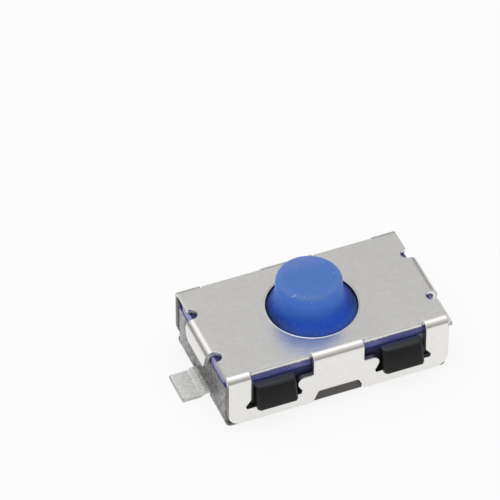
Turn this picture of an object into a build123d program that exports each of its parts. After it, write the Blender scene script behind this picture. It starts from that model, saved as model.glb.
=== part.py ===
from build123d import *
import math
import os

# Surface-mount tactile switch, sealed, two terminals.
# X runs along the length, Y across, Z up. z = 0 is the board, under the terminals.
# All sizes are in millimetres.

# --- cover: one stamped sheet, folded down on four sides
sheet = 0.15                  # sheet thickness
cover_length = 5.64           # length of the side walls
cover_width = 3.40            # over the side walls
cover_top = 1.58              # top face above the board
cover_lift = 0.11             # lower edge of the side walls above the board
side_bend_inside = 0.04       # inside radius of the long folds
end_bend_inside = 0.08        # inside radius of the end folds
hole_diameter = 2.22          # hole for the key
wall_corner_radius = 0.26     # lower corners of the side walls

# windows in the side walls, two a side
centre_land = 1.30            # solid wall between the two windows
end_land = 0.585              # solid wall outside each window
lip_reach = 0.05              # flat lip left above each window, past the start of the fold
bar_height = 0.41             # strip left below the windows
shoulder_height = 1.01        # top of the catch beside each window
shoulder_reach = 0.53         # how far the catch reaches into the window, before rounding
shoulder_radius = 0.17        # round nose of the catch
shoulder_corner_radius = 0.05
catch_waist = 0.285           # width of the catch at the relief below it
ear_depth = 0.14              # pointed relief cut at each end of a window's foot
ear_height = 0.60             # tip of that relief above the board
ear_rise = 0.19               # from its tip to where it leaves the window's edge
ear_slant = 0.03              # slant of its tip, down to the window's foot

# relief in the lower edge of each side wall, at mid length
relief_foot = 1.32            # width at the lower edge
relief_head = 1.02            # width at its top
relief_height = 0.32
relief_radius = 0.08

# end tabs and the relief notches beside them
tab_width = 1.22              # between the notches
tab_tip_width = 1.04          # at the lower edge
tab_drop = 0.52               # lower edge below the top face
tab_radius = 0.14             # lower corners
tab_gap = 0.03                # tab to base
notch_radius = 0.165          # relief notch
notch_depth = 0.19

# --- silicone: key and sealing sheet, moulded in one
seal_thickness = 0.23
seal_corner_radius = 0.28
seal_side_setback = 0.005     # sheet edge behind the edge of the cover's flat top
seal_end_setback = 0.02       # sheet end behind the end of the side walls
flex_gap = 0.03               # the thin flexing ring between key and sheet
key_height = 2.50             # top of the key above the board
key_top_diameter = 1.60
key_skirt_top_diameter = 1.68
key_skirt_top = 1.88          # where the stem starts to flare
key_hole_clearance = 0.065    # flared skirt to the hole, at the cover's top face
key_foot_clearance = 0.005    # foot of the skirt to the hole's radius
key_flare_start = 6           # degrees off upright where the flare starts
key_flare_end = 14            # degrees off upright at its foot
key_edge_radius = 0.09
key_crown = 0.02              # rise of the slightly domed top
nub_diameter = 0.80
nub_gap = 0.03                # nub to dome at rest
groove_inside_diameter = 0.96
groove_outside_diameter = 1.70
groove_height = 0.13          # thins the membrane above the dome

# --- contacts
dome_diameter = 2.44
dome_height = 0.30            # over the rim, outside
dome_thickness = 0.05
dome_rim_width = 0.12         # flat rim
strip = 0.10                  # lead frame thickness
terminal_width = 0.90
terminal_span = 7.00          # over both tips
joggle_start = 3.03           # outer end of the step, from the middle
joggle_length = 0.12
joggle_rise = 0.07
riser_length = 0.18
riser_place = 2.42            # where the frame climbs to the contact plane, from the middle
contact_plate_width = 2.05
contact_plate_outer = 2.18
contact_plate_inner = 0.78    # inner edge of the outer contact, from the middle
contact_plate_lap = 0.40      # length that the formed strip runs on in the plate
centre_contact_width = 0.50
centre_contact_reach = 0.32   # past the middle
centre_contact_drop = 0.05    # centre contact below the outer one
centre_bump_diameter = 0.34
centre_bump_top_diameter = 0.22
centre_bump_height = 0.03

# --- base: black moulding around the lead frames
base_lift = 0.05              # underside above the board
base_length = 5.64
base_side_gap = 0.02          # to the side walls
base_corner_radius = 0.24
contact_plane = 0.65          # floor of the dome well above the board
well_clearance = 0.08         # around the dome
centre_opening_diameter = 0.62
lug_stand = 0.22              # foot of the lugs proud of the side walls
lug_ledge_stand = 0.07        # top of the lugs proud of the side walls
lug_land = 0.10               # upright land at the foot, below the sloping face
lug_gap = 0.02                # lug to the window's foot
lug_inner_gap = 0.065         # lug to the nose of the catch
lug_outer_gap = 0.105         # lug to the window's outer edge
lug_end_chamfer = 0.06
lug_top_chamfer = 0.05
lug_foot_chamfer = 0.03
lug_top_drop = 0.03           # below the top of the base
pad_stand = 0.07              # pad that fills the relief, proud of the base's side
pad_gap = 0.03                # pad to the relief's edges
end_recess_width = 1.02       # recess round each terminal
end_recess_depth = 0.14
pin_hole_length = 0.72        # support pin holes in the underside
pin_hole_width = 0.56
pin_hole_place = 1.72         # from the middle, along
pin_hole_spread = 1.30        # between centres, across
slot_width = 0.15             # slot joining two of the holes
slot_depth = 0.20
gate_diameter = 0.16
gate_depth = 0.04
gate_x = 0.51
gate_y = 0.74

# --- how the shapes are made
through = 1.0                 # how far cutting shapes run past what they cut
corner_share = 0.45           # largest share of a short edge that a rounding takes
near = 0.01                   # how closely an edge's place is matched

# --- derived
side_bend = sheet + side_bend_inside
end_bend = sheet + end_bend_inside
wall_y = cover_width / 2
wall_x = cover_length / 2
plate_under = cover_top - sheet
plate_edge_y = wall_y - side_bend
side_bend_z = cover_top - side_bend
tab_x = base_length / 2 + tab_gap + sheet
base_top = plate_under - seal_thickness
base_y = wall_y - sheet - base_side_gap
base_x = base_length / 2
window_inner = centre_land / 2
window_outer = wall_x - end_land
window_foot = cover_lift + bar_height
catch_x = window_inner + shoulder_reach
ear_inner = window_inner + catch_waist
ear_outer = window_outer + ear_depth
nose_radius = min(shoulder_radius, corner_share * shoulder_reach)
nose_slope = math.atan2(catch_x - ear_inner, shoulder_height - ear_height)
nose_x = catch_x - nose_radius * (math.tan(nose_slope) + 1 / math.cos(nose_slope) - 1)
lug_inner = nose_x + lug_inner_gap
lug_outer = window_outer - lug_outer_gap
lug_bottom = window_foot + lug_gap
lug_top = base_top - lug_top_drop
well_radius = dome_diameter / 2 + well_clearance
key_foot_radius = hole_diameter / 2 - key_foot_clearance
dome_top = contact_plane + dome_height


def both_sides(shape):
    """The shape and its mirror image across the XZ plane."""
    return shape + mirror(shape, about=Plane.XZ)


def four_ways(shape):
    """The shape mirrored across both upright planes."""
    pair = both_sides(shape)
    return pair + mirror(pair, about=Plane.YZ)


def rounded(face, places, radius):
    """Fillets the corners of a flat outline that lie at the given places."""
    for place in places:
        corner = face.vertices().sort_by_distance(Vector(place[0], place[1], 0))[0]
        face = fillet(corner, radius)
    return face


def folded_channel(length_y, height, bend_outside, bend_inside):
    """Section of a sheet folded down at both sides, top at z = 0 of the sketch."""
    outside = Pos(0, -height / 2) * Rectangle(length_y, height)
    inner_height = height - sheet
    inside = Pos(0, -sheet - inner_height / 2) * Rectangle(length_y - 2 * sheet, inner_height)
    outside = fillet(outside.vertices().group_by(Axis.Y)[-1], bend_outside)
    inside = fillet(inside.vertices().group_by(Axis.Y)[-1], bend_inside)
    return outside - inside


def side_channel():
    """Top plate with both long walls."""
    section = folded_channel(cover_width, cover_top - cover_lift, side_bend, side_bend_inside)
    plane = Plane(origin=(-wall_x, 0, cover_top), x_dir=(0, 1, 0), z_dir=(1, 0, 0))
    body = extrude(plane * section, amount=cover_length)
    for x in (-wall_x, wall_x):
        corners = body.edges().filter_by(Axis.Y).filter_by_position(Axis.X, x - near, x + near)
        lower = corners.filter_by_position(Axis.Z, cover_lift - near, cover_lift + near)
        body = fillet(lower, wall_corner_radius)
    return body


def end_tabs():
    """Strip across the length whose ends fold down as the two end tabs."""
    section = folded_channel(2 * tab_x, tab_drop, end_bend, end_bend_inside)
    plane = Plane(origin=(0, tab_width / 2, cover_top), x_dir=(1, 0, 0), z_dir=(0, -1, 0))
    strip_across = extrude(plane * section, amount=tab_width)
    outline = Polyline((-tab_tip_width / 2, -tab_drop), (-tab_width / 2, -end_bend),
                       (-tab_width / 2, through), (tab_width / 2, through),
                       (tab_width / 2, -end_bend), (tab_tip_width / 2, -tab_drop), close=True)
    face = rounded(make_face(outline), [(-tab_tip_width / 2, -tab_drop), (tab_tip_width / 2, -tab_drop)],
                   tab_radius)
    view = Plane(origin=(-tab_x - through, 0, cover_top), x_dir=(0, 1, 0), z_dir=(1, 0, 0))
    return strip_across & extrude(view * face, amount=2 * (tab_x + through))


def window_outline():
    """Outline of one window in the side wall, x along the cover and y up."""
    points = [(window_inner, side_bend_z), (window_inner, shoulder_height), (catch_x, shoulder_height),
              (ear_inner, ear_height), (ear_inner + ear_slant, window_foot),
              (ear_outer - ear_slant, window_foot), (ear_outer, ear_height),
              (window_outer, ear_height + ear_rise), (window_outer, side_bend_z)]
    face = rounded(make_face(Polyline(*points, close=True)), [(catch_x, shoulder_height)], nose_radius)
    return rounded(face, [(window_inner, shoulder_height)], shoulder_corner_radius)


def window_cuts():
    """Cutters for one window: through the wall and through the fold above it."""
    view = Plane(origin=(0, -wall_y - through, 0), x_dir=(1, 0, 0), z_dir=(0, -1, 0))
    wall_part = extrude(view * window_outline(), amount=-(through + side_bend))
    middle = ((window_inner + window_outer) / 2, -plate_edge_y - through / 2, side_bend_z + through / 2)
    return wall_part + Pos(*middle) * Box(window_outer - window_inner, through, through)


def window_lip():
    """The flat edge that the sheet keeps above one window, where no wall pulls it down."""
    edge_y = -plate_edge_y - lip_reach
    plan = Polyline((window_inner, -plate_edge_y + sheet), (window_inner, -plate_edge_y),
                    (window_inner + lip_reach, edge_y), (window_outer - lip_reach, edge_y),
                    (window_outer, -plate_edge_y), (window_outer, -plate_edge_y + sheet), close=True)
    return extrude(Pos(0, 0, plate_under) * make_face(plan), amount=sheet)


def relief_outline(gap, foot_z):
    """Outline of the relief in the side wall's lower edge, closed in by a gap, down to foot_z."""
    foot = relief_foot / 2 - gap
    head = relief_head / 2 - gap
    top_z = cover_lift + relief_height - gap
    points = [(-foot, cover_lift), (-head, top_z), (head, top_z), (foot, cover_lift),
              (foot, foot_z), (-foot, foot_z)]
    radius = min(relief_radius, corner_share * relief_height)
    return rounded(make_face(Polyline(*points, close=True)), [(-head, top_z), (head, top_z)], radius)


def relief_cut():
    """Cutter for the relief in the lower edge of a side wall."""
    view = Plane(origin=(0, -wall_y - through, 0), x_dir=(1, 0, 0), z_dir=(0, -1, 0))
    return extrude(view * relief_outline(0, cover_lift - through), amount=-(through + side_bend))


def notch_cut():
    """Cutter for one round-ended relief notch beside an end tab."""
    place_y = tab_width / 2 + notch_radius
    centre_x = wall_x - notch_depth + notch_radius
    plan = Pos(centre_x, place_y) * Circle(notch_radius)
    plan += Pos(centre_x + through / 2, place_y) * Rectangle(through, 2 * notch_radius)
    return extrude(Pos(0, 0, plate_under - through) * plan, amount=sheet + 2 * through)


def make_cover():
    cover = side_channel() + end_tabs()
    cover -= Pos(0, 0, cover_top) * Cylinder(hole_diameter / 2, 2 * through)
    cover -= four_ways(window_cuts())
    cover += four_ways(window_lip())
    cover -= both_sides(relief_cut())
    cover -= four_ways(notch_cut())
    return cover


def cap_arc(radius, foot_z, rise):
    """Arc of a ball's cap, from its rim up to its top on the axis."""
    ball = (radius ** 2 + rise ** 2) / (2 * rise)
    half = math.asin(radius / ball) / 2
    middle = (ball * math.sin(half), foot_z + rise - ball * (1 - math.cos(half)))
    return ThreePointArc((radius, foot_z), middle, (0, foot_z + rise))


def key_profile():
    """Half section of the key: stem, flared skirt, foot, groove and nub."""
    top_r = key_top_diameter / 2
    rim_z = key_height - key_crown
    skirt_r = hole_diameter / 2 - key_hole_clearance
    foot_z = (plate_under + base_top) / 2
    nub_z = dome_top + nub_gap
    groove_z = base_top + groove_height
    lean = [math.radians(angle) for angle in (key_flare_start, key_flare_end)]
    crown = cap_arc(top_r, rim_z, key_crown)
    stem = Line((top_r, rim_z), (key_skirt_top_diameter / 2, key_skirt_top))
    flare = Spline((key_skirt_top_diameter / 2, key_skirt_top), (skirt_r, cover_top),
                   (key_foot_radius, plate_under),
                   tangents=[(math.sin(angle), -math.cos(angle)) for angle in lean])
    under = Polyline((key_foot_radius, plate_under), (key_foot_radius, base_top),
                     (groove_outside_diameter / 2, base_top),
                     (groove_outside_diameter / 2 - groove_height / 2, groove_z),
                     (groove_inside_diameter / 2, groove_z),
                     (nub_diameter / 2, nub_z), (0, nub_z), (0, key_height))
    return rounded(make_face(crown + stem + flare + under), [(top_r, rim_z)], key_edge_radius)


def make_button():
    return revolve(Plane.XZ * key_profile(), Axis.Z)


def make_seal():
    """Sealing sheet that the cover's top clamps on the base."""
    plan = RectangleRounded(2 * (wall_x - seal_end_setback), 2 * (plate_edge_y - seal_side_setback),
                            seal_corner_radius)
    plan -= Circle(key_foot_radius + flex_gap)
    return extrude(Pos(0, 0, base_top) * plan, amount=seal_thickness)


def make_dome():
    """Snap dome: flat rim, then a shallow bowl of even thickness."""
    rim_r = dome_diameter / 2
    bowl_r = rim_r - dome_rim_width
    foot = contact_plane
    skin = foot + dome_thickness
    rise = dome_height - dome_thickness
    lower = cap_arc(bowl_r, foot, rise)
    upper = cap_arc(bowl_r, skin, rise)
    ends = Polyline((bowl_r, skin), (rim_r, skin), (rim_r, foot), (bowl_r, foot))
    axis_edge = Line((0, foot + rise), (0, skin + rise))
    return revolve(make_face(Plane.XZ * (lower + axis_edge + upper + ends)), Axis.Z)


def frame_strip(contact_z):
    """Formed strip from the tip, over the joggle and the riser, to the contact plate."""
    tip = terminal_span / 2
    low = strip / 2
    high = low + joggle_rise
    plate = contact_z - strip / 2
    path = Polyline((tip, low), (joggle_start, low), (joggle_start - joggle_length, high),
                    (riser_place, high), (riser_place - riser_length, plate),
                    (contact_plate_outer - contact_plate_lap, plate))
    section = trace(path, line_width=strip)
    return extrude(Plane.XZ * section, amount=terminal_width / 2, both=True)


def make_terminal_right():
    """Lead frame with the centre contact, reaching the middle below the dome."""
    contact_z = contact_plane - centre_contact_drop
    plate_inner = pin_hole_place - pin_hole_length / 2 - strip
    plate_length = contact_plate_outer - plate_inner
    frame = frame_strip(contact_z)
    frame += Pos((contact_plate_outer + plate_inner) / 2, 0, contact_z - strip / 2) * Box(
        plate_length, contact_plate_width, strip)
    tongue = contact_plate_outer + centre_contact_reach
    frame += Pos(contact_plate_outer - tongue / 2, 0, contact_z - strip / 2) * Box(
        tongue, centre_contact_width, strip)
    return frame + Pos(0, 0, contact_z + centre_bump_height / 2) * Cone(
        centre_bump_diameter / 2, centre_bump_top_diameter / 2, centre_bump_height)


def make_terminal_left():
    """Lead frame with the outer contact, flush with the floor of the well."""
    plate_length = contact_plate_outer - contact_plate_inner
    frame = frame_strip(contact_plane)
    frame += Pos((contact_plate_outer + contact_plate_inner) / 2, 0, contact_plane - strip / 2) * Box(
        plate_length, contact_plate_width, strip)
    return mirror(frame, about=Plane.YZ)


def lug():
    """One snap lug, at +X -Y: a wedge that a window of the cover springs over."""
    root_y = base_y - sheet
    face_y = wall_y + lug_stand
    ledge_y = wall_y + lug_ledge_stand
    profile = Polyline((root_y, lug_bottom), (face_y - lug_foot_chamfer, lug_bottom),
                       (face_y, lug_bottom + lug_foot_chamfer), (face_y, lug_bottom + lug_land),
                       (ledge_y, lug_top - lug_top_chamfer), (ledge_y - lug_top_chamfer, lug_top),
                       (root_y, lug_top), close=True)
    plan = Polyline((lug_inner, -root_y), (lug_inner, -face_y + lug_end_chamfer),
                    (lug_inner + lug_end_chamfer, -face_y), (lug_outer - lug_end_chamfer, -face_y),
                    (lug_outer, -face_y + lug_end_chamfer), (lug_outer, -root_y), close=True)
    view = Plane(origin=(lug_inner, 0, 0), x_dir=(0, -1, 0), z_dir=(-1, 0, 0))
    wedge = extrude(view * make_face(profile), amount=-(lug_outer - lug_inner))
    return wedge & extrude(Pos(0, 0, lug_bottom) * make_face(plan), amount=lug_top - lug_bottom)


def pad():
    """The pad, at -Y, that fills the relief in the side wall."""
    view = Plane(origin=(0, -base_y - pad_stand, 0), x_dir=(1, 0, 0), z_dir=(0, -1, 0))
    return extrude(view * relief_outline(pad_gap, base_lift), amount=-(pad_stand + sheet))


def pin_holes():
    """The four holes of the mould's support pins, up to the lead frames."""
    depth = contact_plane - strip - base_lift
    holes = Part()
    for side in (-1, 1):
        for across in (-0.5, 0.5):
            holes += Pos(side * pin_hole_place, across * pin_hole_spread, base_lift + depth / 2) * Box(
                pin_hole_length, pin_hole_width, depth)
    return holes


def joining_slot():
    """Slot in the underside that joins the two holes at the +X end."""
    place = pin_hole_place + pin_hole_length / 2 - slot_width / 2
    return Pos(place, 0, base_lift + slot_depth / 2) * Box(
        slot_width, pin_hole_spread + pin_hole_width, slot_depth)


def end_recess():
    """Recess round the terminal at the foot of the +X end."""
    height = joggle_rise + 2 * strip - base_lift
    return Pos(base_x, 0, base_lift + height / 2) * Box(
        2 * end_recess_depth, end_recess_width, height)


def make_base(terminals):
    """Body moulded around both lead frames, with the dome's well in its top."""
    height = base_top - base_lift
    plan = RectangleRounded(2 * base_x, 2 * base_y, base_corner_radius)
    base = extrude(Pos(0, 0, base_lift) * plan, amount=height)
    base += four_ways(lug())
    base += both_sides(pad())
    base -= Pos(0, 0, (base_top + contact_plane) / 2) * Cylinder(well_radius, base_top - contact_plane)
    base -= Pos(0, 0, contact_plane) * Cylinder(centre_opening_diameter / 2, 2 * centre_contact_drop)
    base -= pin_holes()
    base -= joining_slot()
    base -= end_recess()
    base -= mirror(end_recess(), about=Plane.YZ)
    base -= Pos(gate_x, gate_y, base_lift) * Cylinder(gate_diameter / 2, 2 * gate_depth)
    for terminal in terminals:
        base -= terminal
    return base


terminal_left = make_terminal_left()
terminal_right = make_terminal_right()
parts = {
    "cover": make_cover(),
    "button": make_button(),
    "seal": make_seal(),
    "dome": make_dome(),
    "base": make_base([terminal_left, terminal_right]),
    "terminal_left": terminal_left,
    "terminal_right": terminal_right,
}

os.makedirs("parts", exist_ok=True)
for name, solid in parts.items():
    export_step(solid, f"parts/{name}.step")
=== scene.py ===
import math

import bmesh
import bpy
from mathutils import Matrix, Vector
from mathutils.geometry import tessellate_polygon


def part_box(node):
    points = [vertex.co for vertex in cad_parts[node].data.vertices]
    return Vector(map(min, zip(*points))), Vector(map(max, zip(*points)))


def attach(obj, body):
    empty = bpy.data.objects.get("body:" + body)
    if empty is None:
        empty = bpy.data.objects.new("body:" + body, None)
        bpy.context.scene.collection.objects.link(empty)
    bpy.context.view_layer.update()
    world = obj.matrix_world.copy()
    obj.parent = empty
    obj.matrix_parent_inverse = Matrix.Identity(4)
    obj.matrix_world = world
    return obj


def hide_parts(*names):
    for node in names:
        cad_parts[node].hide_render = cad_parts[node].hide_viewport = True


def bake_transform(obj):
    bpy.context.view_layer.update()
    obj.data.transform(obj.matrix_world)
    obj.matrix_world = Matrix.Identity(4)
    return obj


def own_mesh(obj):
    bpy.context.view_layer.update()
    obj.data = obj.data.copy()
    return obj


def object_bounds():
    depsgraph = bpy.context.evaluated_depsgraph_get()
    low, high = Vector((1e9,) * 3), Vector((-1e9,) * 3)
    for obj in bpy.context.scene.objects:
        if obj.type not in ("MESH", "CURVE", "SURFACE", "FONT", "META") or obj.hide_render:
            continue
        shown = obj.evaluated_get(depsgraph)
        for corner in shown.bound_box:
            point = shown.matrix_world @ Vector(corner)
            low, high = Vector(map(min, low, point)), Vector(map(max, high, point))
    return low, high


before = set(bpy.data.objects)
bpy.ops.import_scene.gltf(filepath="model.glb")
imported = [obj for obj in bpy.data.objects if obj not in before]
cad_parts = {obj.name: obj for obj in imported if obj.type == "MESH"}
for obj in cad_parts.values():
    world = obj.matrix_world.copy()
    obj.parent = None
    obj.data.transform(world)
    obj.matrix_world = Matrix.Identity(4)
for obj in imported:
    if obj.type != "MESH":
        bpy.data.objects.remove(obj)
cad_low, cad_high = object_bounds()
MM = 0.001                                # sizes are in millimetres, the scene is in metres

# --- COVER ------------------------------------------------------------------------
# One blank of 0.15 mm stainless sheet, punched with the key's hole, four side
# windows and the relief notches, then folded down on all four sides over the
# base. The punch rolls the upper edge over and leaves a rough lower one.

cover_low, cover_high = (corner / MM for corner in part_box("cover"))
SHEET = 0.15
TOP_Z = cover_high.z
CUT_ROUND = 0.014                         # rounding of the punched edges
HOLE_R, HOLE_BURR = 1.11, 0.010

SIDE_FOLD_IN = 0.04                       # inside radius of the long folds
SIDE_FOLD_Y = cover_high.y - SHEET - SIDE_FOLD_IN
SIDE_FOLD_RUN = math.pi / 2 * (SIDE_FOLD_IN + SHEET / 2)
END_FOLD_IN = 0.08                        # inside radius of the end folds
END_FOLD_X = cover_high.x - SHEET - END_FOLD_IN
END_FOLD_RUN = math.pi / 2 * (END_FOLD_IN + SHEET / 2)
FOLD_STEPS = 10

TAB_HALF, TAB_TIP_HALF = 0.61, 0.52       # half widths of an end tab, at its root and its tip
TAB_TIP_R = 0.14
TAB_FOOT_Z = TOP_Z - 0.52
NOTCH_R, NOTCH_DEPTH = 0.165, 0.19        # round-ended notch beside a tab

WALL_END_X = 2.82
WALL_FOOT_Z = cover_low.z
WALL_CORNER_R = 0.32
RELIEF_FOOT, RELIEF_HEAD = 0.66, 0.51     # half widths of the relief at mid length
RELIEF_RISE = 0.32
RELIEF_FOOT_R, RELIEF_HEAD_R = 0.03, 0.08

WINDOW_X = (0.65, 2.235)
WINDOW_FOOT_Z = 0.52
CATCH_Z, CATCH_REACH, CATCH_NOSE_R = 1.01, 0.53, 0.17
CATCH_ROOT_R, CATCH_WAIST = 0.05, 0.285
EAR_TIP_Z, EAR_ROOT_Z = 0.60, 0.79        # pointed relief at each end of a window's foot
EAR_DEPTH, EAR_SLANT = 0.14, 0.03
EAR_NEAR_R, EAR_FAR_R, EAR_ROOT_R = 0.012, 0.015, 0.06
LIP_REACH, LIP_R = 0.05, 0.02             # flat lip above each window, past the fold's start
LIP_Y = SIDE_FOLD_Y + LIP_REACH


def rounded_outline(corners, steps=6):
    """Closed outline from corners (x, y, radius), each corner turned into an arc."""
    outline = []
    for i, (x, y, radius) in enumerate(corners):
        here = Vector((x, y))
        if not radius:
            outline.append(here)
            continue
        back = (Vector(corners[i - 1][:2]) - here).normalized()
        ahead = (Vector(corners[(i + 1) % len(corners)][:2]) - here).normalized()
        half = back.angle(ahead) / 2
        centre = here + (back + ahead).normalized() * radius / math.sin(half)
        start = here + back * radius / math.tan(half) - centre
        end = here + ahead * radius / math.tan(half) - centre
        turn = start.angle_signed(end)
        for k in range(steps + 1):
            angle = -turn * k / steps
            c, s = math.cos(angle), math.sin(angle)
            outline.append(centre + Vector((start.x * c - start.y * s, start.x * s + start.y * c)))
    return outline


def arc(x, y, radius, first, last, steps):
    """Points on an arc, angles in degrees."""
    angles = [math.radians(first + (last - first) * k / steps) for k in range(steps + 1)]
    return [Vector((x + radius * math.cos(a), y + radius * math.sin(a))) for a in angles]


def wound(outline, anticlockwise):
    """The outline with its points in the wanted direction."""
    area = sum(a.x * b.y - b.x * a.y for a, b in zip(outline, outline[1:] + outline[:1]))
    return outline if (area > 0) == anticlockwise else outline[::-1]


def inward(outline):
    """At each point, the step into the material, on the left, that moves both edges in by 1."""
    steps = []
    for i, here in enumerate(outline):
        back = here - outline[i - 1]
        ahead = outline[(i + 1) % len(outline)] - here
        a = Vector((-back.y, back.x)).normalized()
        b = Vector((-ahead.y, ahead.x)).normalized()
        steps.append((a + b) / max(1 + a.dot(b), 0.35))
    return steps


def cut_section(thickness, upper_round, lower_round, steps=4):
    """The cut edge's section: (inset, depth, share of the normal outward, share upward)."""
    turns = [math.pi / 2 * k / steps for k in range(steps + 1)]
    upper = [(upper_round * (1 - math.sin(a)), upper_round * (1 - math.cos(a)),
              math.sin(a), math.cos(a)) for a in turns]
    lower = [(lower_round * (1 - math.cos(a)), thickness - lower_round * (1 - math.sin(a)),
              math.cos(a), -math.sin(a)) for a in turns]
    return upper + lower


# a burr's ridge in units of its height: (past the edge, rise, normal outward, upward)
BURR_SECTION = ((3.0, 0, 0, 1), (2.6, 0.1, -0.5, 1), (1.8, 0.7, -0.8, 1), (1.0, 1, 0.1, 1))


def punched_blank(outer, holes, thickness, upper_round, lower_round, burr=0):
    """Flat sheet with rounded cut edges, its top at z = 0, and a fine uneven burr round the
    first hole. The layer "cut" runs down the cut faces, and "facing" holds the normals."""
    bm = bmesh.new()
    cut = bm.verts.layers.float.new("cut")
    facing = bm.verts.layers.float_vector.new("facing")
    section = cut_section(thickness, upper_round, lower_round)
    ridge = [(upper_round + burr * run, -burr * rise, outward, upward)
             for run, rise, outward, upward in BURR_SECTION]
    first, last = [], []
    for number, loop in enumerate([wound(outer, True)] + [wound(hole, False) for hole in holes]):
        steps = inward(loop)
        rows = []
        for inset, depth, outward, upward in (ridge if burr and number == 1 else []) + section:
            row = []
            for i, (here, step) in enumerate(zip(loop, steps)):
                at = here + step * inset
                broken = 0.62 + 0.38 * math.sin(2.1 * i) * math.sin(0.37 * i + 1)
                vert = bm.verts.new((at.x, at.y, -depth * (broken if depth < 0 else 1)))
                side = -step.normalized() * outward
                vert[facing] = (side.x, side.y, upward)
                vert[cut] = max(depth, 0) / thickness if outward > 0.01 else 0
                row.append(vert)
            rows.append(row)
        for upper, lower in zip(rows, rows[1:]):
            for i in range(len(loop)):
                bm.faces.new((upper[i - 1], upper[i], lower[i], lower[i - 1]))
        first.append(rows[0])
        last.append(rows[-1])
    for rows in (first, last):
        close_flat(bm, rows)
    bmesh.ops.recalc_face_normals(bm, faces=bm.faces)
    return bm


def close_flat(bm, rows):
    """Fills the flat face inside the first row of vertices and outside the others."""
    flat = [vert for row in rows for vert in row]
    for three in tessellate_polygon([[vert.co for vert in row] for row in rows]):
        bm.faces.new([flat[i] for i in three])


def slice_across(bm, axis, places):
    """Adds edges where planes at these places on the axis cross the mesh, for it to bend at."""
    normal = Vector((axis == "x", axis == "y", axis == "z"))
    for place in places:
        bmesh.ops.bisect_plane(bm, geom=bm.verts[:] + bm.edges[:] + bm.faces[:], dist=1e-6,
                               plane_co=normal * place, plane_no=normal)


def piece(name, bm, finish, body=None, replaces=()):
    """A mesh worked in millimetres becomes a piece of the object."""
    bmesh.ops.scale(bm, vec=(MM, MM, MM), verts=bm.verts)
    mesh = bpy.data.meshes.new(name)
    bm.to_mesh(mesh)
    bm.free()
    mesh.shade_smooth()
    if "facing" in mesh.attributes:
        normals = [value.vector.copy() for value in mesh.attributes["facing"].data]
        mesh.normals_split_custom_set_from_vertices(normals)
        mesh.attributes.remove(mesh.attributes["facing"])
    made = bpy.data.objects.new(name, mesh)
    bpy.context.scene.collection.objects.link(made)
    mesh.materials.append(finish)
    if body:
        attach(made, body)
    if replaces:
        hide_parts(*replaces)
    return made


class Wire:
    """An output of a node in a finish. Arithmetic on it adds Math nodes."""

    def __init__(self, finish, socket):
        self.finish, self.socket = finish, socket

    def math(self, operation, *terms):
        return self.finish.node("Math", {"operation": operation}, dict(enumerate(terms)))

    def __add__(self, other):
        return self.math("ADD", self, other)

    __radd__ = __add__

    def __sub__(self, other):
        return self.math("SUBTRACT", self, other)

    def __rsub__(self, other):
        return self.math("SUBTRACT", other, self)

    def __mul__(self, other):
        return self.math("MULTIPLY", self, other)

    __rmul__ = __mul__

    def __abs__(self):
        return self.math("ABSOLUTE", self)


class Finish:
    """A node material built round one Principled shader."""

    def __init__(self, name):
        self.material = bpy.data.materials.new(name)
        self.material.use_nodes = True
        self.tree = self.material.node_tree
        self.shader = self.tree.nodes["Principled BSDF"]

    def plug(self, socket, value):
        if isinstance(value, Wire):
            self.tree.links.new(value.socket, socket)
        elif isinstance(value, tuple) and len(value) == 3 and socket.type == "RGBA":
            socket.default_value = (*value, 1)
        else:
            socket.default_value = value

    def node(self, kind, settings=None, sockets=None, out=0):
        """A node of this kind: its settings first, then the values or links of its sockets."""
        made = self.tree.nodes.new("ShaderNode" + kind)
        for key, value in (settings or {}).items():
            setattr(made, key, value)
        for key, value in (sockets or {}).items():
            self.plug(made.inputs[key], value)
        return Wire(self, made.outputs[out])

    def place(self, stretch=(1, 1, 1)):
        """Position on the piece in millimetres, stretched along the axes."""
        point = self.node("TexCoord", out="Object")
        scale = tuple(s / MM for s in stretch)
        return self.node("VectorMath", {"operation": "MULTIPLY"}, {0: point, 1: scale})

    def heights(self):
        """The three coordinates in millimetres."""
        split = self.node("SeparateXYZ", {}, {0: self.place()})
        return [Wire(self, split.socket.node.outputs[i]) for i in range(3)]

    def noise(self, per_mm, stretch=(1, 1, 1), detail=2.0, rough=0.5):
        return self.node("TexNoise", {}, {"Vector": self.place(stretch), "Scale": per_mm,
                                          "Detail": detail, "Roughness": rough})

    def fade(self, value, low, high):
        """0 below low, 1 above high, smooth between."""
        return self.node("MapRange", {"interpolation_type": "SMOOTHSTEP"},
                         {"Value": value, "From Min": low, "From Max": high})

    def mix(self, share, a, b):
        return self.node("Mix", {"data_type": "RGBA"}, {"Factor": share, 6: a, 7: b}, out=2)

    def bump(self, height, depth_mm):
        return self.node("Bump", {}, {"Height": height, "Distance": depth_mm * MM,
                                      "Strength": 1.0})

    def surface(self, **sockets):
        for name, value in sockets.items():
            self.plug(self.shader.inputs[name.replace("_", " ")], value)
        return self.material


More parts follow.
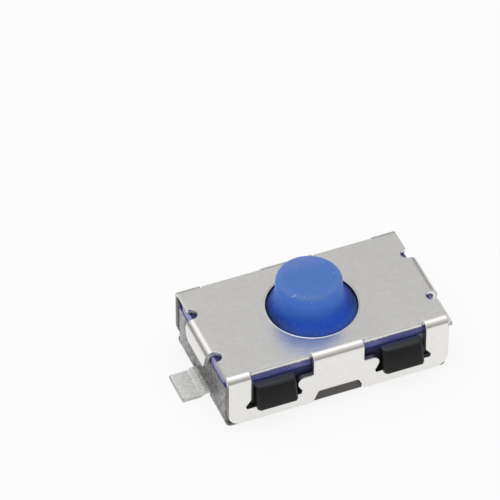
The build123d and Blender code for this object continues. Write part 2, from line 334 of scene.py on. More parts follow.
def fold_down(bm):
    """Folds the four sides of the flat blank down, each round its own bend."""
    facing = bm.verts.layers.float_vector["facing"]
    for vert in bm.verts:
        x, y, level = vert.co
        on_lip = WINDOW_X[0] < abs(x) < WINDOW_X[1] and abs(y) < LIP_Y + 0.001
        if abs(x) > END_FOLD_X and abs(y) < TAB_HALF + NOTCH_R:
            i, start, run, inside = 0, END_FOLD_X, END_FOLD_RUN, END_FOLD_IN
        else:
            i, start, run, inside = 1, SIDE_FOLD_Y, SIDE_FOLD_RUN, SIDE_FOLD_IN
        reach, sign = abs(vert.co[i]), math.copysign(1, vert.co[i])
        past = 0 if on_lip else max(reach - start, 0)
        turned = min(past / run, 1) * math.pi / 2
        c, d = math.cos(turned), math.sin(turned)
        radius = inside + SHEET + level
        vert.co[i] = sign * (reach if on_lip else min(reach, start) + radius * d)
        vert.co.z = TOP_Z - inside - SHEET + radius * c - max(past - run, 0)
        normal = vert[facing].copy()
        out = normal[i] * sign
        normal[i] = sign * (out * c + normal.z * d)
        normal.z = normal.z * c - out * d
        vert[facing] = normal


def down_wall(z):
    """Distance across the flat blank of a height z on the side wall."""
    return SIDE_FOLD_Y + SIDE_FOLD_RUN + (TOP_Z - SHEET - SIDE_FOLD_IN - z)


def blank_outline():
    """A quarter of the blank's outer edge, mirrored to all four."""
    tab_root = END_FOLD_X + END_FOLD_RUN
    tab_end = tab_root + (TOP_Z - SHEET - END_FOLD_IN - TAB_FOOT_Z)
    tab = rounded_outline([(tab_end, -0.1, 0), (tab_end, TAB_TIP_HALF, TAB_TIP_R),
                           (tab_root, TAB_HALF, 0), (0, 0, 0)])[1:-1]
    notch = arc(WALL_END_X - NOTCH_DEPTH + NOTCH_R, TAB_HALF + NOTCH_R, NOTCH_R, 270, 90, 14)
    foot = down_wall(WALL_FOOT_Z)
    wall = rounded_outline([(WALL_END_X, TAB_HALF + 2 * NOTCH_R + 0.01, 0),
                            (WALL_END_X, foot, WALL_CORNER_R),
                            (RELIEF_FOOT, foot, RELIEF_FOOT_R),
                            (RELIEF_HEAD, foot - RELIEF_RISE, RELIEF_HEAD_R),
                            (0, foot - RELIEF_RISE, 0), (0, 0, 0)], 8)[:-1]
    quarter = [Vector((tab_end, 0))] + tab + notch + wall
    half = quarter + [Vector((-p.x, p.y)) for p in quarter[-2::-1]]
    return half + [Vector((p.x, -p.y)) for p in half[-2:0:-1]]


def window_outline(side_x, side_y):
    """A side window: a flat lip at the fold, a round catch and a pointed relief at each end
    of its foot."""
    near, far = WINDOW_X
    foot, tip, catch = down_wall(WINDOW_FOOT_Z), down_wall(EAR_TIP_Z), down_wall(CATCH_Z)
    corners = [(near, SIDE_FOLD_Y, 0), (near, catch, CATCH_ROOT_R),
               (near + CATCH_REACH, catch, CATCH_NOSE_R),
               (near + CATCH_WAIST, tip, EAR_NEAR_R), (near + CATCH_WAIST + EAR_SLANT, foot, 0),
               (far + EAR_DEPTH - EAR_SLANT, foot, 0), (far + EAR_DEPTH, tip, EAR_FAR_R),
               (far, down_wall(EAR_ROOT_Z), EAR_ROOT_R), (far, SIDE_FOLD_Y, 0),
               (far - LIP_REACH, LIP_Y, LIP_R), (near + LIP_REACH, LIP_Y, LIP_R)]
    return [Vector((side_x * p.x, side_y * p.y)) for p in rounded_outline(corners)]


def cover_finish():
    """Rolled stainless: fine grain along the sheet, cloudy patches, bright sheared edges,
    a torn lower band on them, and painted shade on the cut faces at the ends of the side walls."""
    steel = Finish("rolled_stainless")
    x, y, z = steel.heights()
    grain = steel.noise(22, (0.25, 1, 1), 4, 0.7)
    cloud = steel.noise(1.1, detail=3)
    mottle = steel.noise(9, detail=3, rough=0.6)
    cut = steel.node("Attribute", {"attribute_name": "cut"}, out="Fac")
    on_cut = steel.fade(cut, 0.004, 0.02)
    sheared = on_cut * (1 - steel.fade(cut, 0.30, 0.42))
    torn = steel.fade(cut, 0.62, 0.76)
    torn = torn * steel.fade(steel.noise(14, (1, 1, 0.4), 2), 0.20, 0.50)
    # painted shade: the cut faces at the ends of the side walls are painted dark
    wall_end_shade = steel.fade(abs(x), 2.79, 2.815) * (1 - steel.fade(z, 1.36, 1.44))
    wall_end_shade = wall_end_shade * steel.fade(abs(y), 1.45, 1.50) * on_cut
    colour = steel.mix(mottle, (0.77, 0.76, 0.735), (0.89, 0.88, 0.855))
    colour = steel.mix(sheared, colour, (0.60, 0.595, 0.59))
    colour = steel.mix(torn, colour, (0.26, 0.255, 0.27))
    colour = steel.mix(wall_end_shade, colour, (0.195, 0.182, 0.174))
    roughness = 0.24 + cloud * 0.06 + mottle * 0.08 + torn * 0.2 + sheared * 0.1
    height = grain * 0.5 + mottle * 0.5 + torn * 0.6
    return steel.surface(Base_Color=colour, Metallic=1.0, Roughness=roughness,
                         Normal=steel.bump(height, 0.0035))


key_hole = arc(0, 0, HOLE_R, 0, 360, 120)[:-1]
windows = [window_outline(x, y) for x in (-1, 1) for y in (-1, 1)]
cover_mesh = punched_blank(blank_outline(), [key_hole] + windows,
                           SHEET, CUT_ROUND, CUT_ROUND, HOLE_BURR)
side_folds = [SIDE_FOLD_Y + SIDE_FOLD_RUN * k / FOLD_STEPS for k in range(FOLD_STEPS + 1)]
end_folds = [END_FOLD_X + END_FOLD_RUN * k / FOLD_STEPS for k in range(FOLD_STEPS + 1)]
slice_across(cover_mesh, "y", side_folds + [-y for y in side_folds])
slice_across(cover_mesh, "x", end_folds + [-x for x in end_folds])
fold_down(cover_mesh)
piece("cover_sheet", cover_mesh, cover_finish(), "housing", ["cover"])

# --- KEY AND SEALING SHEET --------------------------------------------------------
# One moulding of translucent blue silicone: a sheet that the cover clamps on the
# base, and in its middle the key, a round stem on a flared skirt that fills the
# cover's hole. The stem sits a little off the middle, as soft mouldings do.

seal_low, seal_high = (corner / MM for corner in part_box("seal"))
key_low, key_high = (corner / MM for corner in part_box("button"))
SHEET_TOP_Z = seal_high.z - 0.004         # just clear of the cover's underside
SHEET_CORNER_R = 0.28
SHEET_EDGE_R = 0.02
MEMBRANE_Z = seal_low.z + 0.13            # the sheet is thinned from below round the nub
STEM_R = 0.80
KEY_EDGE_R, KEY_CROWN = 0.13, 0.015
SKIRT_TOP_R, SKIRT_TOP_Z = 0.835, 1.88
SKIRT_FOOT_R = 1.10
KEY_LEAN = (-0.065, 0.03)
LEAN_FROM_Z, LEAN_RUN = SHEET_TOP_Z + 0.03, 0.45
KEY_TURNS = 112


def curve_between(a, b, leave, arrive, steps):
    """Points on a smooth curve from a to b with these end directions, a left out."""
    points = []
    for k in range(1, steps + 1):
        t = k / steps
        weights = (2 * t**3 - 3 * t**2 + 1, t**3 - 2 * t**2 + t, -2 * t**3 + 3 * t**2, t**3 - t**2)
        ends = (a, leave, b, arrive)
        points.append(tuple(sum(w * p[i] for w, p in zip(weights, ends)) for i in (0, 1)))
    return points


def key_side():
    """Outline (radius, height) of the key, from the sheet's top up to the axis, and its top."""
    top = key_high.z
    face_r = STEM_R - KEY_EDGE_R
    rim_z = top - KEY_CROWN - KEY_EDGE_R
    start = (SKIRT_FOOT_R + 0.045, SHEET_TOP_Z)
    foot = curve_between(start, (SKIRT_FOOT_R - 0.006, SHEET_TOP_Z + 0.045),
                         (-0.05, 0), (-0.012, 0.06), 5)
    skirt = curve_between(foot[-1], (SKIRT_TOP_R, SKIRT_TOP_Z), (-0.12, 0.55), (-0.06, 0.5), 22)
    stem = [(STEM_R + (SKIRT_TOP_R - STEM_R) * (1 - k / 6),
             SKIRT_TOP_Z + (rim_z - SKIRT_TOP_Z) * k / 6) for k in range(1, 7)]
    rim = [tuple(p) for p in arc(face_r, rim_z, KEY_EDGE_R, 0, 90, 8)[1:]]
    crown = [(face_r * (1 - k / 8), top - KEY_CROWN * (1 - k / 8) ** 2) for k in range(1, 8)]
    return [start] + foot + skirt + stem + rim + crown, top


def turned_rings(bm, outline, turns):
    """Rings of vertices for an outline (radius, height), joined by faces."""
    rings = []
    for radius, z in outline:
        rings.append([bm.verts.new((radius * math.cos(2 * math.pi * k / turns),
                                    radius * math.sin(2 * math.pi * k / turns), z))
                      for k in range(turns)])
    for lower, upper in zip(rings, rings[1:]):
        for k in range(turns):
            bm.faces.new((lower[k - 1], lower[k], upper[k], upper[k - 1]))
    return rings


def close_with_point(bm, ring, z):
    """Closes a ring with faces that meet on the axis."""
    tip = bm.verts.new((0, 0, z))
    for k in range(len(ring)):
        bm.faces.new((ring[k - 1], ring[k], tip))


def even_shading(made):
    """Large flat faces keep their own normal, and only the small roundings turn it."""
    weighted = made.modifiers.new("even shading", "WEIGHTED_NORMAL")
    weighted.weight = 80
    return made


def silicone_mesh():
    """Key and sheet as one skin, the stem moved over by its lean."""
    bm = bmesh.new()
    outline, top = key_side()
    upper = turned_rings(bm, outline, KEY_TURNS)
    close_with_point(bm, upper[-1], top)
    under = [(1.16, seal_low.z), (0.85, seal_low.z), (0.80, MEMBRANE_Z - 0.02),
             (0.76, MEMBRANE_Z), (0.46, MEMBRANE_Z)]
    lower = turned_rings(bm, under, KEY_TURNS)
    close_with_point(bm, lower[-1], MEMBRANE_Z)
    x, y, r = seal_high.x, seal_high.y, SHEET_CORNER_R
    plan = wound(rounded_outline([(x, y, r), (-x, y, r), (-x, -y, r), (x, -y, r)], 10), True)
    steps = inward(plan)
    rows = [[bm.verts.new((*(p + step * inset), SHEET_TOP_Z - depth))
             for p, step in zip(plan, steps)]
            for inset, depth, _, _ in cut_section(SHEET_TOP_Z - seal_low.z,
                                                  SHEET_EDGE_R, SHEET_EDGE_R)]
    for one, other in zip(rows, rows[1:]):
        for i in range(len(plan)):
            bm.faces.new((one[i - 1], one[i], other[i], other[i - 1]))
    close_flat(bm, [rows[0], upper[0][::-1]])
    close_flat(bm, [rows[-1], lower[0][::-1]])
    bmesh.ops.recalc_face_normals(bm, faces=bm.faces)
    for vert in bm.verts:
        if vert.co.z > LEAN_FROM_Z:
            share = min((vert.co.z - LEAN_FROM_Z) / LEAN_RUN, 1)
            share = share * share * (3 - 2 * share)
            vert.co.x += KEY_LEAN[0] * share
            vert.co.y += KEY_LEAN[1] * share
    return bm


def silicone_finish():
    """Frosted translucent silicone: deep blue low on the skirt, paler up the stem and on top as
    painted light and sheen, painted shade in the hole, greyer where the thin sheet lies on black,
    and pale painted light and sheen along the sheet's rim, with a painted highlight at its ends."""
    rubber = Finish("blue_silicone")
    x, y, z = rubber.heights()
    off_x, off_y = x - KEY_LEAN[0], y - KEY_LEAN[1]
    from_middle = x * x + y * y
    cloud = rubber.noise(3.2, detail=4, rough=0.6)
    grain = rubber.noise(34, detail=3, rough=0.6)
    fine = rubber.noise(11, (1, 1, 0.5), 3, 0.65)

    # the key: deep at the skirt's foot, lighter up the stem and paler on the lid, as painted
    # light from above and a painted sheen on the lid
    up = rubber.fade(z, 1.54, 2.34)
    deep = rubber.mix(cloud, (0.001, 0.070, 0.60), (0.003, 0.100, 0.76))
    stem = rubber.mix(cloud, (0.070, 0.232, 0.80), (0.104, 0.288, 0.92))
    lid = rubber.mix(cloud, (0.077, 0.192, 0.555), (0.111, 0.250, 0.665))
    # painted reflection: the lid's back half is painted paler and greyer
    lid = rubber.mix(rubber.fade(off_y, 0.10, 0.85), lid, (0.190, 0.272, 0.64))
    crown = rubber.fade(z, 2.38, 2.48)
    ring = rubber.fade(off_x * off_x + off_y * off_y, 0.30, 0.58)
    key = rubber.mix(crown, rubber.mix(up, deep, stem), lid)
    # painted highlight: a paler ring round the lid's edge
    key = rubber.mix(crown * ring * 0.45, key, (0.165, 0.28, 0.60))

    # the skirt's foot: dark blue painted shade inside the hole, weakest at the front, and greyer
    # at the front near the bright edge as painted light
    hole_shade = (1 - rubber.fade(z, 1.56, 1.88)) * (0.16 + rubber.fade(y, -0.85, -0.30) * 0.84)
    # painted light: the front of the skirt's foot is greyed and paled next to the bright edge
    foot = rubber.fade(from_middle, 0.80, 1.22) * (1 - rubber.fade(y, -0.75, 0.15))
    key = rubber.mix(hole_shade, key, (0.006, 0.018, 0.14))
    key = rubber.mix(foot * 0.45, key, (0.13, 0.21, 0.47))
    key = rubber.mix(rubber.fade(fine, 0.35, 0.75) * 0.16, key, (0.11, 0.28, 0.80))

    # the sheet: dark over the base; along its rim pale as painted light and sheen, and a painted
    # highlight on its ends
    outer = rubber.fade(from_middle, 1.35, 1.60) * (1 - rubber.fade(z, 1.44, 1.47))
    rim = rubber.fade(abs(y), 1.44, 1.49) + rubber.fade(abs(x), 2.73, 2.78)
    streak = rubber.fade(rubber.noise(6, (0.4, 1, 1), 3), 0.35, 0.65)
    # painted highlight on the sheet's end faces
    end_highlight = rubber.fade(abs(x), seal_high.x - 0.03, seal_high.x - 0.02)
    # painted light and sheen: the sheet's side edges are painted pale
    rim_sheen = rubber.mix(streak, (0.135, 0.15, 0.45), (0.21, 0.225, 0.56))
    rim_sheen = rubber.mix(end_highlight, rim_sheen, (0.42, 0.42, 0.72))
    sheet = rubber.mix(rim, (0.055, 0.058, 0.17), rim_sheen)

    # bright flecks on the key's edge
    speck = rubber.fade(rubber.noise(8, detail=1), 0.70, 0.74) * rubber.fade(z, 2.20, 2.35)
    speck = speck * (0.35 + ring * 0.65)
    colour = rubber.mix(speck * 0.45, rubber.mix(outer, key, sheet), (0.60, 0.70, 0.92))
    return rubber.surface(Base_Color=colour, Roughness=0.40 + grain * 0.18,
                          Subsurface_Weight=0.35, Subsurface_Radius=(0.25, 0.55, 1.0),
                          Subsurface_Scale=0.0002, IOR=1.41, Specular_IOR_Level=0.26,
                          Sheen_Weight=0.10, Sheen_Roughness=0.4, Sheen_Tint=(0.55, 0.68, 1.0),
                          Normal=rubber.bump(grain * 0.5 + cloud * 0.5, 0.006))


silicone = piece("silicone_key_and_seal", silicone_mesh(), silicone_finish(),
                 replaces=["button", "seal"])
even_shading(silicone)
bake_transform(silicone)

# --- DOME -------------------------------------------------------------------------
# The snap dome that clicks: thin spring sheet under the key's nub, its flat rim on
# the outer contact. It flattens as the key goes down.

dome_low, dome_high = (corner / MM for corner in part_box("dome"))
DOME_SKIN, DOME_RIM = 0.05, 0.12
TURNS = 64


def dome_mesh():
    """Flat rim and a shallow bowl, of even thickness."""
    bm = bmesh.new()
    rim_r = dome_high.x
    bowl_r, rise = rim_r - DOME_RIM, dome_high.z - dome_low.z - DOME_SKIN
    turns = [math.pi / 2 * k / 12 for k in range(12)]
    bowl = [(rim_r, 0)] + [(bowl_r * math.cos(a), rise * math.sin(a) ** 2) for a in turns]
    skin_z = dome_low.z + DOME_SKIN
    upper = turned_rings(bm, [(r, skin_z + z) for r, z in bowl], TURNS)
    lower = turned_rings(bm, [(r, dome_low.z + z) for r, z in bowl], TURNS)
    close_with_point(bm, upper[-1], dome_high.z)
    close_with_point(bm, lower[-1], dome_high.z - DOME_SKIN)
    for k in range(TURNS):
        bm.faces.new((upper[0][k - 1], upper[0][k], lower[0][k], lower[0][k - 1]))
    bmesh.ops.recalc_face_normals(bm, faces=bm.faces)
    return bm


def dome_finish():
    """Hard rolled spring steel, almost a mirror, with fine rolling lines."""
    spring = Finish("spring_steel")
    lines = spring.noise(30, (0.1, 1, 1), 3)
    colour = spring.mix(lines, (0.68, 0.66, 0.62), (0.78, 0.76, 0.72))
    return spring.surface(Base_Color=colour, Metallic=1.0, Roughness=0.14 + lines * 0.12,
                          Normal=spring.bump(lines, 0.001))


dome = even_shading(piece("snap_dome", dome_mesh(), dome_finish(), "housing", ["dome"]))
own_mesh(dome)

# --- NUB --------------------------------------------------------------------------
# The short plunger under the key that pushes the dome in. It is the key's own
# silicone, moulded with it, and is shaped by itself so that it travels with the key.

NUB_TOP_Z = 1.75                          # ends inside the key
NUB_SIDE = [(0.37, key_low.z), (0.395, key_low.z + 0.03), (0.40, key_low.z + 0.07),
            (0.42, NUB_TOP_Z)]

nub = bmesh.new()
rings = turned_rings(nub, NUB_SIDE, TURNS)
close_with_point(nub, rings[0], key_low.z)
close_with_point(nub, rings[-1], NUB_TOP_Z)
bmesh.ops.recalc_face_normals(nub, faces=nub.faces)
even_shading(piece("key_nub", nub, silicone.data.materials[0], "key"))

# --- BASE -------------------------------------------------------------------------
# Black glass-filled thermoplastic, moulded round both lead frames. Lugs stand out
# through the cover's windows, a pad fills each relief, and the underside has the
# four holes of the mould's support pins with a slot that joins two of them.

base_low, base_high = (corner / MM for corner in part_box("base"))
BASE_X, BASE_Y, BASE_CORNER_R = base_high.x, 1.53, 0.10
BASE_TOP_Z = seal_low.z
CONTACT_Z, CENTRE_DROP = 0.65, 0.05       # outer contact's plane, and the centre one below it
WELL_R, CENTRE_OPENING_R = 1.30, 0.31
LUG_X = (1.115, 2.13)
LUG_ROOT_Y, LUG_END_CUT = BASE_Y - 0.15, 0.06
LUG_LEVELS = ((0.54, 0.03), (0.57, 0), (0.64, 0), (1.12, 0.15), (1.17, 0.20))   # z, set back
PAD_Y = (1.35, 1.60)
PAD_LEVELS = ((base_low.z, 0.63), (WALL_FOOT_Z, 0.63), (0.38, 0.492), (0.40, 0.465))   # z, half
FOOT_X, FOOT_Y, FOOT_Z, FOOT_R = BASE_X - 0.40, (1.40, 1.61), (0.03, 0.095), 0.11
CUT_FROM_Z = -0.3                         # where the cutting shapes start, below the part
PIN_HOLE_X, PIN_HOLE_Y = 1.72, 0.65
PIN_HOLE_HALF_X, PIN_HOLE_HALF_Y, PIN_HOLE_TOP_Z = 0.36, 0.28, 0.60
SLOT_X, SLOT_HALF_X, SLOT_HALF_Y = PIN_HOLE_X + PIN_HOLE_HALF_X - 0.075, 0.074, PIN_HOLE_Y + 0.1
SLOT_TOP_Z = 0.25
RECESS_DEPTH, RECESS_HALF_Y, RECESS_TOP_Z = 0.14, 0.51, 0.27
GATE_X, GATE_Y, GATE_R, GATE_TOP_Z = 0.51, 0.74, 0.08, 0.09


def stacked(*levels):
    """Closed solid through levels (z, outline), each outline with as many points."""
    bm = bmesh.new()
    rows = [[bm.verts.new((p[0], p[1], z)) for p in outline] for z, outline in levels]
    for lower, upper in zip(rows, rows[1:]):
        for i in range(len(lower)):
            bm.faces.new((lower[i - 1], lower[i], upper[i], upper[i - 1]))
    bm.faces.new(rows[0])
    bm.faces.new(rows[-1])
    bmesh.ops.recalc_face_normals(bm, faces=bm.faces)
    return bm


def block(x, y, half_x, half_y, low, high):
    """Plain box by its centre, half sizes and levels."""
    plan = [(x - half_x, y - half_y), (x + half_x, y - half_y),
            (x + half_x, y + half_y), (x - half_x, y + half_y)]
    return stacked((low, plan), (high, plan))


def round_plug(x, y, radius, low, high, steps=48):
    """Plain cylinder by its centre, radius and levels."""
    plan = arc(x, y, radius, 0, 360, steps)[:-1]
    return stacked((low, plan), (high, plan))


def lug(side_x, side_y):
    """A snap lug: a wedge with bevelled ends, widest at its foot, where the window catches it."""
    near, far = LUG_X
    near_cut, far_cut = near + LUG_END_CUT, far - LUG_END_CUT

    def plan(set_back):
        face = base_high.y - set_back
        side = face - LUG_END_CUT
        corners = [(near, LUG_ROOT_Y), (near, side), (near_cut, face), (far_cut, face),
                   (far, side), (far, LUG_ROOT_Y)]
        return [(side_x * x, side_y * y) for x, y in corners]

    return stacked(*((z, plan(set_back)) for z, set_back in LUG_LEVELS))


def relief_pad(side_y):
    """The pad that shows in the relief at the foot of a side wall."""
    root, face = side_y * PAD_Y[0], side_y * PAD_Y[1]
    return stacked(*((z, [(-half, root), (half, root), (half, face), (-half, face)])
                     for z, half in PAD_LEVELS))


def corner_foot(side_x, side_y):
    """A low foot at a corner of the underside, a little proud of the side faces."""
    root, face = FOOT_Y
    plan = rounded_outline([(FOOT_X, root, 0), (FOOT_X, face, 0), (BASE_X, face, FOOT_R),
                            (BASE_X, root, 0)], 4)
    plan = [(side_x * p.x, side_y * p.y) for p in plan]
    return stacked(*((z, plan) for z in FOOT_Z))


def joined_and_cut(first, added, removed):
    """The first shape with the added ones fused on and the removed ones cut away."""
    def holder(bm):
        mesh = bpy.data.meshes.new("tool")
        bm.to_mesh(mesh)
        bm.free()
        made = bpy.data.objects.new("tool", mesh)
        bpy.context.scene.collection.objects.link(made)
        return made

    body = holder(first)
    tools = [(holder(bm), "UNION") for bm in added] + [(holder(bm), "DIFFERENCE") for bm in removed]
    for tool, operation in tools:
        step = body.modifiers.new("step", "BOOLEAN")
        step.object, step.operation, step.solver = tool, operation, "EXACT"
    bpy.context.view_layer.update()
    final = bmesh.new()
    final.from_mesh(body.evaluated_get(bpy.context.evaluated_depsgraph_get()).to_mesh())
    for tool in [body] + [tool for tool, _ in tools]:
        bpy.data.objects.remove(tool)
    bmesh.ops.remove_doubles(final, verts=final.verts, dist=1e-5)
    return final


def base_finish():
    """Moulded black plastic: fine grain, a mottled, glossier skin at the ends that is partly a
    painted sheen, painted light on faces that look up and next to the lugs' outer ends, painted
    reflections of the blue sheet, grey pads as a painted reflection of the floor, and greyer low
    corners at the ends."""
    plastic = Finish("black_moulding")
    x, y, z = plastic.heights()
    along, across = abs(x), abs(y)
    normal = plastic.node("NewGeometry", out="Normal")
    upward = plastic.fade(plastic.node("SeparateXYZ", {}, {0: normal}, out=2), 0.5, 0.95)
    grain = plastic.noise(26, detail=4, rough=0.65)
    coarse = plastic.noise(11, (1, 1, 0.6), 3, 0.7)
    flow = plastic.noise(3, (1, 2.5, 1), 3)
    dark = plastic.mix(flow, (0.0075, 0.008, 0.0085), (0.013, 0.0135, 0.014))

    # the end faces: mottled grey skin that is partly a painted sheen, palest towards the corners
    skin = plastic.fade(along, 2.60, 2.80)
    mottled = plastic.mix(plastic.fade(coarse, 0.30, 0.66), (0.085, 0.085, 0.087),
                          (0.27, 0.27, 0.275))
    skin_and_sheen = plastic.mix(plastic.fade(across, 0.75, 1.35), dark, mottled)

    # the side faces seen through the windows: higher up a painted blue reflection of the sheet
    # above them, and painted light only next to each lug's outer end
    wall = plastic.fade(across, 1.515, 1.525) * (1 - plastic.fade(across, 1.535, 1.56))
    wall = wall * (1 - skin)
    high = plastic.fade(z, 0.75, 1.15)
    inner = plastic.mix(high, dark, (0.024, 0.032, 0.105))
    lit_next_to_lug = plastic.mix(high, (0.13, 0.134, 0.14), (0.24, 0.25, 0.30))
    lit = plastic.mix(plastic.fade(along, 2.08, 2.12), inner, lit_next_to_lug)
    faces = plastic.mix(wall, plastic.mix(skin, dark, skin_and_sheen), lit)

    # faces that look up: painted light, grey on the lugs and blue nearest the sheet as a painted
    # reflection of it
    lit_ledge = plastic.mix(coarse, (0.050, 0.055, 0.066), (0.080, 0.086, 0.10))
    sheet_reflection = plastic.fade(z, 0.30, 0.60) * (1 - plastic.fade(across, 1.53, 1.60))
    lit_ledge = plastic.mix(sheet_reflection, lit_ledge, (0.075, 0.090, 0.27))

    # the pads in the reliefs, grey as a painted reflection of the floor, and the low corners of
    # the ends, greyer
    pad_grey = plastic.mix(grain, (0.115, 0.112, 0.107), (0.178, 0.174, 0.168))
    pad = plastic.fade(across, 1.56, 1.59) * (1 - plastic.fade(z, 0.38, 0.41))
    low_corner = plastic.fade(across, 1.42, 1.50) * skin * (1 - plastic.fade(z, 0.30, 0.50))
    colour = plastic.mix(pad, plastic.mix(upward, faces, lit_ledge), pad_grey)
    colour = plastic.mix(low_corner * 0.7, colour, pad_grey)
    gloss = skin * (0.30 + plastic.fade(coarse, 0.36, 0.56) * 0.70)
    height = grain * 0.5 + coarse * 0.3 + flow * 0.2
    return plastic.surface(Base_Color=colour, Roughness=0.42 + grain * 0.22 - flow * 0.08,
                           IOR=1.5, Specular_IOR_Level=0.26, Coat_Weight=gloss,
                           Coat_Roughness=0.25, Coat_IOR=1.8,
                           Normal=plastic.bump(height, 0.005))


base_plan = rounded_outline([(x * BASE_X, y * BASE_Y, BASE_CORNER_R)
                             for x, y in ((1, 1), (-1, 1), (-1, -1), (1, -1))], 3)
lugs_and_feet = [shape(x, y) for shape in (lug, corner_foot) for x in (-1, 1) for y in (-1, 1)]
pin_holes = [block(x * PIN_HOLE_X, y * PIN_HOLE_Y, PIN_HOLE_HALF_X, PIN_HOLE_HALF_Y,
                   CUT_FROM_Z, PIN_HOLE_TOP_Z) for x in (-1, 1) for y in (-1, 1)]
end_recesses = [block(x, 0, RECESS_DEPTH, RECESS_HALF_Y, CUT_FROM_Z, RECESS_TOP_Z)
                for x in (BASE_X, -BASE_X)]
base_mesh = joined_and_cut(
    stacked((base_low.z, base_plan), (BASE_TOP_Z, base_plan)),
    lugs_and_feet + [relief_pad(-1), relief_pad(1)],
    [round_plug(0, 0, WELL_R, CONTACT_Z, BASE_TOP_Z + 0.2, 96),
     round_plug(0, 0, CENTRE_OPENING_R, CONTACT_Z - CENTRE_DROP, CONTACT_Z + 0.1)]
    + pin_holes
    + [block(SLOT_X, 0, SLOT_HALF_X, SLOT_HALF_Y, CUT_FROM_Z, SLOT_TOP_Z)]
    + end_recesses
    + [round_plug(GATE_X, GATE_Y, GATE_R, CUT_FROM_Z, GATE_TOP_Z)])
base = piece("moulded_base", base_mesh, base_finish(), "housing", ["base"])
edges = base.modifiers.new("soft edges", "BEVEL")
edges.width, edges.segments, edges.angle_limit = 0.018 * MM, 2, math.radians(38)
edges.use_clamp_overlap = True
even_shading(base)

# --- TERMINALS --------------------------------------------------------------------
# Two lead frames cut and formed from plated brass strip: a flat solder tip, a step
# up to the base, a riser inside it, and a contact under the dome. The plating stops
# at the tip, where the strip was sheared off.

STRIP = 0.10
STRIP_TOP_R, STRIP_FOOT_R = 0.03, 0.012   # rounding of the cut edges
TIP_X, INNER_END_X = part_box("terminal_right")[1].x / MM, -0.5
JOGGLE_X, JOGGLE_RISE = (3.03, 2.91), 0.07
RISER_X = (2.42, 2.24)
BEND_R = 0.10
STRIP_HALF, PLATE_HALF, TONGUE_HALF = 0.45, 1.025, 0.25   # half widths
PLATE_OUTER_X = 2.18


def formed_path(contact_z):
    """Side view (x, z) of the strip's middle, from the tip inward, bends rounded."""
    low = STRIP / 2
    high, plate = low + JOGGLE_RISE, contact_z - STRIP / 2
    corners = [(TIP_X, low, 0), (JOGGLE_X[0], low, BEND_R), (JOGGLE_X[1], high, BEND_R),
               (RISER_X[0], high, BEND_R), (RISER_X[1], plate, BEND_R), (INNER_END_X, plate, 0)]
    return rounded_outline(corners, 6)


def form_strip(bm, path, side):
    """Bends a flat strip, x measured from its tip, along the path."""
    facing = bm.verts.layers.float_vector["facing"]
    reach = [0.0]
    for a, b in zip(path, path[1:]):
        reach.append(reach[-1] + (b - a).length)
    slice_across(bm, "x", reach[1:-1])
    for vert in bm.verts:
        k = max(i for i in range(len(path) - 1) if reach[i] <= vert.co.x + 1e-5 or i == 0)
        ahead = (path[k + 1] - path[k]).normalized()
        before = (path[k] - path[k - 1]).normalized() if k else ahead
        on_joint = abs(vert.co.x - reach[k]) < 1e-4
        along = (ahead + before).normalized() if on_joint else ahead
        upward = Vector((along.y, -along.x))
        if upward.y < 0:
            upward = -upward
        at = path[k] + ahead * (vert.co.x - reach[k]) + upward * (vert.co.z + STRIP / 2)
        normal = vert[facing]
        flat = along * normal.x + upward * normal.z
        vert[facing] = (side * flat.x, normal.y, flat.y)
        vert.co = (side * at.x, vert.co.y, at.y)
    bmesh.ops.recalc_face_normals(bm, faces=bm.faces)


def frame_outline(path, plate_end_x, tongue_end_x):
    """Flat outline of one lead frame, x measured from its tip."""
    length = sum((b - a).length for a, b in zip(path, path[1:]))

    def run(x):
        return length - (x - INNER_END_X)

    half = [(0, STRIP_HALF, 0.03), (run(PLATE_OUTER_X), STRIP_HALF, 0.05),
            (run(PLATE_OUTER_X), PLATE_HALF, 0.05), (run(plate_end_x), PLATE_HALF, 0.05)]
    if tongue_end_x is not None:
        half += [(run(plate_end_x), TONGUE_HALF, 0.05), (run(tongue_end_x), TONGUE_HALF, 0.08)]
    return rounded_outline(half + [(x, -y, r) for x, y, r in half[::-1]], 4)


def terminal_finish():
    """Matt silver plating over brass: bright and grainy, scuffed, whiter on the tip as a painted
    reflection of the white floor, a painted highlight along the bend at the step, and bare at the
    cut."""
    plate = Finish("plated_brass")
    out = abs(plate.heights()[0])
    grain = plate.noise(24, detail=4, rough=0.7)
    fleck = plate.fade(plate.noise(15, (1, 1.6, 1), 3, 0.7), 0.42, 0.62)
    scuff = plate.fade(plate.noise(6, (0.3, 1.5, 1), 3), 0.5, 0.7)
    cut = plate.node("Attribute", {"attribute_name": "cut"}, out="Fac")
    bare = plate.fade(cut, 0.35, 0.6)
    # painted reflection: the tip is painted whiter and less metallic, as if mirroring the white
    # floor
    tip_glare = plate.fade(out, 3.03, 3.06)
    # painted highlight: a white, less metallic streak along the bend at the step
    crease_highlight = plate.fade(out, 3.00, 3.02) * (1 - plate.fade(out, 3.03, 3.05))
    crease_highlight = crease_highlight * plate.fade(grain, 0.35, 0.55)
    cut_off = plate.fade(cut, 0.01, 0.05) * (1 - plate.fade(cut, 0.24, 0.36))
    cut_off = cut_off * plate.fade(out, 3.42, 3.46)
    colour = plate.mix(tip_glare, (0.72, 0.715, 0.70), (0.82, 0.815, 0.81))
    colour = plate.mix(fleck, colour, (0.98, 0.98, 0.965))
    colour = plate.mix(crease_highlight, colour, (1.0, 1.0, 1.0))
    colour = plate.mix(cut_off * 0.65, colour, (0.24, 0.235, 0.23))
    colour = plate.mix(bare, colour, (0.80, 0.78, 0.73))
    return plate.surface(Base_Color=colour, Metallic=0.80 - crease_highlight * 0.6 - tip_glare * 0.65,
                         Roughness=0.44 + grain * 0.24 - scuff * 0.12 + bare * 0.1,
                         Normal=plate.bump(grain * 0.6 + fleck * 0.4, 0.009))


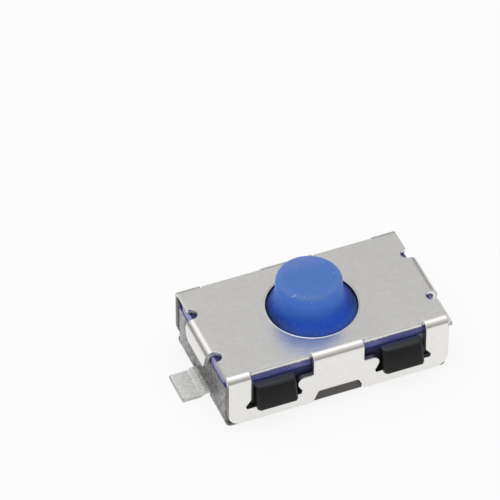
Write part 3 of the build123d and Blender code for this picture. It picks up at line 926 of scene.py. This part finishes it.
plated = terminal_finish()
for name, side, contact_z, plate_end_x, tongue_end_x in (
        ("terminal_left", -1, CONTACT_Z + 0.002, 0.78, None),
        ("terminal_right", 1, CONTACT_Z - CENTRE_DROP, 1.26, -0.32)):
    path = formed_path(contact_z)
    strip_mesh = punched_blank(frame_outline(path, plate_end_x, tongue_end_x), [],
                               STRIP, STRIP_TOP_R, STRIP_FOOT_R)
    form_strip(strip_mesh, path, side)
    piece(name + "_strip", strip_mesh, plated, "housing", [name])

# --- FLOOR ------------------------------------------------------------------------
# A wide sheet of white paper, just under the part, that keeps the soft shadow. It is
# a little brighter to the eye and in mirrors than the light on it would make it.

FLOOR_R, FLOOR_GAP = 3000, 0.002

floor_mesh = bmesh.new()
bmesh.ops.create_circle(floor_mesh, cap_ends=True, segments=64, radius=FLOOR_R)
bmesh.ops.translate(floor_mesh, vec=(0, 0, cad_low.z / MM - FLOOR_GAP), verts=floor_mesh.verts)
paper = Finish("white_floor")
paper.surface(Base_Color=(0.95, 0.95, 0.95), Roughness=0.9, Specular_IOR_Level=0.1)
seen, mirrored, through = (paper.node("LightPath", out=ray) for ray in (
    "Is Camera Ray", "Is Glossy Ray", "Is Transmission Ray"))
glow = paper.node("Emission", {}, {"Color": (1.0, 1.0, 1.0), "Strength": 1.0})
sheen = paper.node("MixShader", {}, {0: (seen + mirrored + through) * 0.85,
                                     1: Wire(paper, paper.shader.outputs[0]), 2: glow})
paper.plug(paper.tree.nodes["Material Output"].inputs["Surface"], sheen)
floor = piece("floor", floor_mesh, paper.material)

# --- LIGHT ------------------------------------------------------------------------
# Plain soft light: a pale room, brightest overhead, with one bright window patch,
# and one large soft lamp above.

LAMP_SIZE, LAMP_WATTS = 0.16, 0.058       # metres across, watts
LAMP_PLACE = (-0.03, 0.02, 0.2)

scene = bpy.context.scene
scene.view_settings.view_transform = "Standard"
room = bpy.data.worlds.new("room")
room.use_nodes = True
scene.world = room


class Room(Finish):
    """The world's own nodes, built the way a finish is."""

    def __init__(self, world):
        self.tree = world.node_tree
        self.shader = self.tree.nodes["Background"]

    def facing(self, direction, ahead):
        """How far the direction looks ahead, from -1 to 1."""
        return self.node("VectorMath", {"operation": "DOT_PRODUCT"}, {0: direction, 1: ahead},
                         out="Value")


air = Room(room)
direction = air.node("TexCoord", out="Generated")
upward = air.facing(direction, (0, 0, 1))
backward = air.facing(direction, (0.38, 0.92, 0))
window = air.facing(direction, (-0.27, 0.66, 0.70))
light = air.mix(air.fade(backward, -0.5, 0.5), (0.60, 0.58, 0.56), (0.52, 0.52, 0.52))
light = air.mix(air.fade(upward, 0.14, 0.55), (0.20, 0.19, 0.19), light)
light = air.mix(air.fade(window, 0.93, 0.975), light, (1.2, 1.2, 1.2))
light = air.mix(air.fade(upward, 0.74, 0.92), light, (1.14, 1.14, 1.14))
backdrop = air.node("LightPath", out="Is Camera Ray")
air.plug(air.shader.inputs["Color"], air.mix(backdrop, light, (1.0, 1.0, 1.0)))

lamp_data = bpy.data.lights.new("soft_lamp", "AREA")
lamp_data.shape = "DISK"
lamp_data.size = LAMP_SIZE
lamp_data.energy = LAMP_WATTS
lamp = bpy.data.objects.new("soft_lamp", lamp_data)
lamp.location = LAMP_PLACE
lamp.rotation_euler = Vector(LAMP_PLACE).to_track_quat("Z", "Y").to_euler()
scene.collection.objects.link(lamp)

# --- CAMERA -----------------------------------------------------------------------
# It looks down at the front and the left end, from close by, with the part low and
# to the right in the frame.

AZIMUTH, ELEVATION = math.radians(-22.13), math.radians(43.91)
CAMERA_AWAY = 0.141                       # metres
AIM_UP, AIM_LEFT = 2.43, 1.47             # millimetres from the part's origin

backwards = Vector((math.sin(AZIMUTH) * math.cos(ELEVATION),
                    -math.cos(AZIMUTH) * math.cos(ELEVATION), math.sin(ELEVATION)))
turn = backwards.to_track_quat("Z", "Y")
right, up = turn @ Vector((1, 0, 0)), turn @ Vector((0, 1, 0))
target = (up * AIM_UP - right * AIM_LEFT) * MM
camera_data = bpy.data.cameras.new("camera")
camera_data.sensor_width = 36
camera_data.lens = 423.5
camera_data.clip_start, camera_data.clip_end = 0.005, 20
camera = bpy.data.objects.new("camera", camera_data)
camera.location = target + backwards * CAMERA_AWAY
camera.rotation_mode = "QUATERNION"
camera.rotation_quaternion = turn
scene.collection.objects.link(camera)
scene.camera = camera
